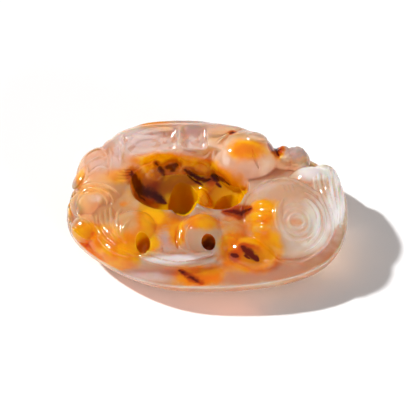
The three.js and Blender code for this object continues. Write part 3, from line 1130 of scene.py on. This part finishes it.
def rimHighlight(points):
    # 1 along the crisp upper edge of the stone, where a highlight is painted
    edge = outlineAt(np.linspace(-math.pi, math.pi, 721))
    around = np.arctan2(edge[:, 1], edge[:, 0])
    order = np.argsort(around)
    reach = np.linalg.norm(edge, axis=1)[order]
    out = np.interp(np.arctan2(points[:, 1], points[:, 0]), around[order], reach)
    inside = out - np.hypot(points[:, 0], points[:, 1])
    return smoothStep(*paintSettings["rimHighlight"], np.hypot(inside, points[:, 2] - rimLevel(points[:, 0])))


def convexity(stone, rounds=8, scale=0.12):
    # over 0 on carved edges, below 0 in grooves
    points, faces = shellOf(stone)
    pairs = np.empty(len(stone.data.edges) * 2, dtype=np.int64)
    stone.data.edges.foreach_get("vertices", pairs)
    pairs = pairs.reshape(-1, 2)
    count = np.bincount(pairs.ravel(), minlength=len(points))[:, None]
    eased = points.copy()
    for step in range(rounds):
        total = np.zeros_like(points)
        for axis in range(3):
            total[:, axis] = np.bincount(pairs[:, 0], eased[pairs[:, 1], axis], len(points))
            total[:, axis] += np.bincount(pairs[:, 1], eased[pairs[:, 0], axis], len(points))
        eased = total / np.maximum(count, 1)
    rise = ((points - eased) * pointNormals(stone)).sum(axis=1)
    return np.clip(rise / scale, -1, 1)


def paintStone(stone):
    s = paintSettings
    points = shellOf(stone)[0]
    tree = treeOf(stone)
    ragged = 1 + s["ragged"] * wander(points, s["raggedSize"], octaves=3, shift=11.0)
    stained = np.zeros(len(points))
    for name in patchSettings:
        mask = patchMask(name, points, tree, ragged)
        paintMask(stone, name, mask)
        if name in s["stains"]:
            stained = np.maximum(stained, mask)
    veins = shareOfVeins(points, tree)
    paintMask(stone, "vein", smoothStep(*veinSettings["edge"], veins))
    paintMask(stone, "halo", smoothStep(*veinSettings["halo"], veins))
    # the edge mask: over 0 on carved ridges, where a highlight is painted, and below 0 in grooves, where
    # shade is painted
    paintMask(stone, "edge", convexity(stone) * (1 - s["stainedEdges"] * stained))
    # a painted highlight along the rim
    paintMask(stone, "rim", rimHighlight(points))
    print("painted", len(points), "points")


paintStone(stone)


# Agate

agateSettings = {
    "body": (0.93, 0.60, 0.395),
    "pale": (0.96, 0.73, 0.545),
    "warm": (0.99, 0.535, 0.225),
    "lilac": (0.80, 0.63, 0.60),
    # also painted highlights
    "milkAndHighlights": (0.99, 0.97, 0.95),
    "orange": (0.86, 0.245, 0.0),
    "yellow": (0.92, 0.42, 0.0),
    "ember": (0.84, 0.17, 0.007),
    # also painted shade in a crease
    "amberAndCreaseShade": (0.74, 0.165, 0.0),
    "halo": (0.52, 0.07, 0.0),
    # also a painted glow where light comes through the brow
    "goldAndGlow": (1.0, 0.44, 0.0),
    # also painted in the holes, as their shade and glow
    "oliveAndHoleShade": (0.72, 0.30, 0.0),
    # painted shade in the right pupil
    "pupilShade": (0.33, 0.06, 0.0),
    "plate": (0.79, 0.42, 0.27),
    "vein": (0.10, 0.005, 0.0),
    # painted highlight on carved ridges
    "edge": (0.97, 0.82, 0.74),
    # painted shade in the grooves
    "grooveShade": (0.66, 0.31, 0.15),
    # painted highlight along the rim
    "rim": (0.99, 0.84, 0.76),
    "rimHighlightShare": 0.7,                # how far each of these covers what lies under it
    "ridgeHighlightShare": 0.15,
    "grooveShadeShare": 0.45,
    "band": (0.62, 0.33, 0.22),
    "bandShare": 0.45,
    "bandWave": {"Scale": 95.0, "Distortion": 2.2, "Detail": 3.0, "Detail Scale": 0.6},
    "bandsTo": (0.0085, 0.0065),    # metres up, where the bands start and are full
    # size in metres, detail, roughness and distortion of the noise
    "clouds": (0.006, 3.0, 0.5, 0.6),
    "grain": (0.0016, 3.0, 0.6, 0.8),
    "flames": (0.004, 2.0, 0.55, 0.0),
    "mottle": 0.05,                 # how far the grain draws the stains in and out
    # the values between which each of these fades in
    "paleFade": (0.38, 0.66),
    "mottleFade": (0.3, 0.7),
    "tintFade": (0.1, 0.9),
    "stainFade": (0.1, 0.95),
    "flameFade": (0.05, 0.95),
    "yellowFade": (0.35, 0.65),
    "bandFade": (0.35, 0.9),
    "grooveShadeFade": (0.12, 0.8),
    "ridgeHighlightFade": (0.2, 1.0),
    "subsurface": 0.85,
    "reach": 0.007,                 # metres
    "reachColours": (1.0, 0.55, 0.3),
    "transmission": 0.65,
    "cloudyTransmission": 0.15,
    "stainCloud": 0.6,              # how cloudy the orange stains are, of 1
    "milkCloud": 0.6,               # the same for the milky forms
    "roughness": 0.1,
    "refraction": 1.54,
    "shine": 0.35,
}


def agate(material):
    s = agateSettings
    material.use_nodes = True
    tree = material.node_tree
    nodes, link = tree.nodes, tree.links.new
    shader = nodes["Principled BSDF"]
    coordinates = nodes.new("ShaderNodeTexCoord").outputs["Object"]

    def noiseOf(size, detail, roughness, distortion):
        node = nodes.new("ShaderNodeTexNoise")
        node.inputs["Scale"].default_value = 1 / size
        node.inputs["Detail"].default_value = detail
        node.inputs["Roughness"].default_value = roughness
        node.inputs["Distortion"].default_value = distortion
        link(coordinates, node.inputs["Vector"])
        return node.outputs[0]

    def stretch(value, low, high, first=0.0, last=1.0):
        node = nodes.new("ShaderNodeMapRange")
        node.interpolation_type = "SMOOTHSTEP"
        link(value, node.inputs["Value"])
        for label, amount in (("From Min", low), ("From Max", high), ("To Min", first), ("To Max", last)):
            node.inputs[label].default_value = amount
        return node.outputs[0]

    def maskOf(name):
        node = nodes.new("ShaderNodeAttribute")
        node.attribute_name = name
        return node.outputs["Fac"]

    def mix(share, first, second):
        node = nodes.new("ShaderNodeMix")
        node.data_type = "RGBA"
        link(share, node.inputs["Factor"])
        for socket, value in ((node.inputs[6], first), (node.inputs[7], second)):
            if isinstance(value, tuple):
                socket.default_value = (*value, 1)
            else:
                link(value, socket)
        return node.outputs[2]

    def times(first, second):
        return mathNode(tree, "MULTIPLY", first, second)

    def plus(first, second):
        return mathNode(tree, "ADD", first, second)

    def most(first, second):
        return mathNode(tree, "MAXIMUM", first, second)

    mottle = stretch(noiseOf(*s["grain"]), *s["mottleFade"], -s["mottle"], s["mottle"])

    def colourLayer(name, fade, over):
        return mix(stretch(plus(maskOf(name), mottle), *fade), over, s[name])

    # the stone between the stains
    colour = mix(stretch(noiseOf(*s["clouds"]), *s["paleFade"]), s["body"], s["pale"])
    for name in ("warm", "plate", "lilac", "milkAndHighlights"):
        colour = colourLayer(name, s["tintFade"], colour)

    # faint level bands in the belly, and painted shade in the grooves
    level = nodes.new("ShaderNodeSeparateXYZ")
    link(coordinates, level.inputs[0])
    low = stretch(level.outputs["Z"], *s["bandsTo"], 0.0, s["bandShare"])
    wave = nodes.new("ShaderNodeTexWave")
    wave.bands_direction = "Z"
    for label, amount in s["bandWave"].items():
        wave.inputs[label].default_value = amount
    link(coordinates, wave.inputs["Vector"])
    colour = mix(times(low, stretch(wave.outputs["Fac"], *s["bandFade"])), colour, s["band"])
    # painted shade where the edge mask is below 0, in grooves
    deep = stretch(times(maskOf("edge"), -1.0), *s["grooveShadeFade"], 0.0, s["grooveShadeShare"])
    colour = mix(deep, colour, s["grooveShade"])

    # stains, with the glow and shade painted among them, from the widest to the darkest
    flame = mix(stretch(noiseOf(*s["flames"]), *s["yellowFade"]), s["orange"], s["yellow"])
    colour = mix(stretch(plus(maskOf("orange"), mottle), *s["flameFade"]), colour, flame)
    for name in ("ember", "amberAndCreaseShade", "halo", "goldAndGlow", "oliveAndHoleShade", "pupilShade"):
        colour = colourLayer(name, s["stainFade"], colour)

    # painted highlights on carved ridges and along the rim, and the veins
    colour = mix(stretch(maskOf("edge"), *s["ridgeHighlightFade"], 0.0, s["ridgeHighlightShare"]), colour, s["edge"])
    colour = mix(times(maskOf("rim"), s["rimHighlightShare"]), colour, s["rim"])
    colour = colourLayer("vein", s["tintFade"], colour)
    link(colour, shader.inputs["Base Color"])

    # stained and milky stone, and where glow and shade are painted, lets less light through
    cloudy = most(times(maskOf("orange"), s["stainCloud"]), times(maskOf("milkAndHighlights"), s["milkCloud"]))
    for name in ("goldAndGlow", "oliveAndHoleShade", "pupilShade", "vein"):
        cloudy = most(cloudy, maskOf(name))
    clear = stretch(cloudy, 0.0, 1.0, s["transmission"], s["cloudyTransmission"])
    link(clear, shader.inputs["Transmission Weight"])
    shader.inputs["Subsurface Weight"].default_value = s["subsurface"]
    shader.inputs["Subsurface Scale"].default_value = s["reach"]
    shader.inputs["Subsurface Radius"].default_value = s["reachColours"]
    shader.inputs["IOR"].default_value = s["refraction"]
    shader.inputs["Specular IOR Level"].default_value = s["shine"]
    shader.inputs["Roughness"].default_value = s["roughness"]
    print("mixed the agate")


agate(carvingMaterial)


# Floor and light

stageSettings = {
    "floorSide": 3.0,       # metres
    "floorColour": (0.9, 0.9, 0.9),
    "floorRoughness": 0.9,
    "skyStrength": 0.26,
    "skyColour": (1.0, 0.92, 0.90),
    "sunStrength": 4.1,
    "sunAngle": 3.5,        # degrees
    "sunFrom": (-0.70, 0.28, 0.66),
    "fillAt": (0.62, -0.68, 0.13),      # metres
    "fillSide": 0.45,
    "fillPower": 8.5,       # watts
    # light that has come through the stone, on the floor by it
    "glowAt": (-0.006, -0.0185, 0.0045),
    "glowTurn": -11.0,
    "glowSize": (0.034, 0.004),
    "glowPower": 0.0004,
    "glowColour": (1.0, 0.25, 0.06),
}


def makeFloor():
    s = stageSettings
    half = s["floorSide"] / 2
    corners = [(-half, -half, 0), (half, -half, 0), (half, half, 0), (-half, half, 0)]
    mesh = bpy.data.meshes.new("floor")
    mesh.from_pydata(corners, [], [(0, 1, 2, 3)])
    floor = bpy.data.objects.new("floor", mesh)
    bpy.context.collection.objects.link(floor)
    material = bpy.data.materials.new("pale floor")
    material.use_nodes = True
    shader = material.node_tree.nodes["Principled BSDF"]
    shader.inputs["Base Color"].default_value = (*s["floorColour"], 1)
    shader.inputs["Roughness"].default_value = s["floorRoughness"]
    shader.inputs["Specular IOR Level"].default_value = 0.0
    floor.data.materials.append(material)


def addLight(name, kind, strength, turn, at=(0, 0, 0)):
    data = bpy.data.lights.new(name, kind)
    data.energy = strength
    light = bpy.data.objects.new(name, data)
    light.location = at
    light.rotation_euler = turn
    bpy.context.collection.objects.link(light)
    return light


def makeLight():
    s = stageSettings
    towardsSun = Vector(s["sunFrom"]).to_track_quat("Z", "Y").to_euler()
    key = addLight("key", "SUN", s["sunStrength"], towardsSun)
    key.data.angle = math.radians(s["sunAngle"])

    towardsFill = Vector(s["fillAt"]).to_track_quat("Z", "Y").to_euler()
    fill = addLight("fill", "AREA", s["fillPower"], towardsFill, s["fillAt"])
    fill.data.size = s["fillSide"]
    fill.visible_glossy = False

    glow = addLight("glow", "AREA", s["glowPower"], (0, 0, math.radians(s["glowTurn"])), s["glowAt"])
    glow.data.shape = "RECTANGLE"
    glow.data.size, glow.data.size_y = s["glowSize"]
    glow.data.color = s["glowColour"]
    glow.visible_glossy = False
    glow.visible_transmission = False

    world = bpy.data.worlds.new("studio")
    world.use_nodes = True
    sky = world.node_tree.nodes["Background"]
    sky.inputs["Color"].default_value = (*s["skyColour"], 1)
    sky.inputs["Strength"].default_value = s["skyStrength"]
    bpy.context.scene.world = world
    bpy.context.scene.view_settings.view_transform = "Standard"
    print("lit the stage")


makeFloor()
makeLight()
makeCamera()


# The finished piece

stone.name = "carved_agate"
stone.data.name = "carved_agate"
stone.data.transform(Matrix.Scale(1 / toMm, 4))
stone.data.materials.clear()
stone.data.materials.append(carvingMaterial)
stone.data.polygons.foreach_set("use_smooth", [True] * len(stone.data.polygons))
stone.data.update()
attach(stone, "root")
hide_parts("carved_pebble")
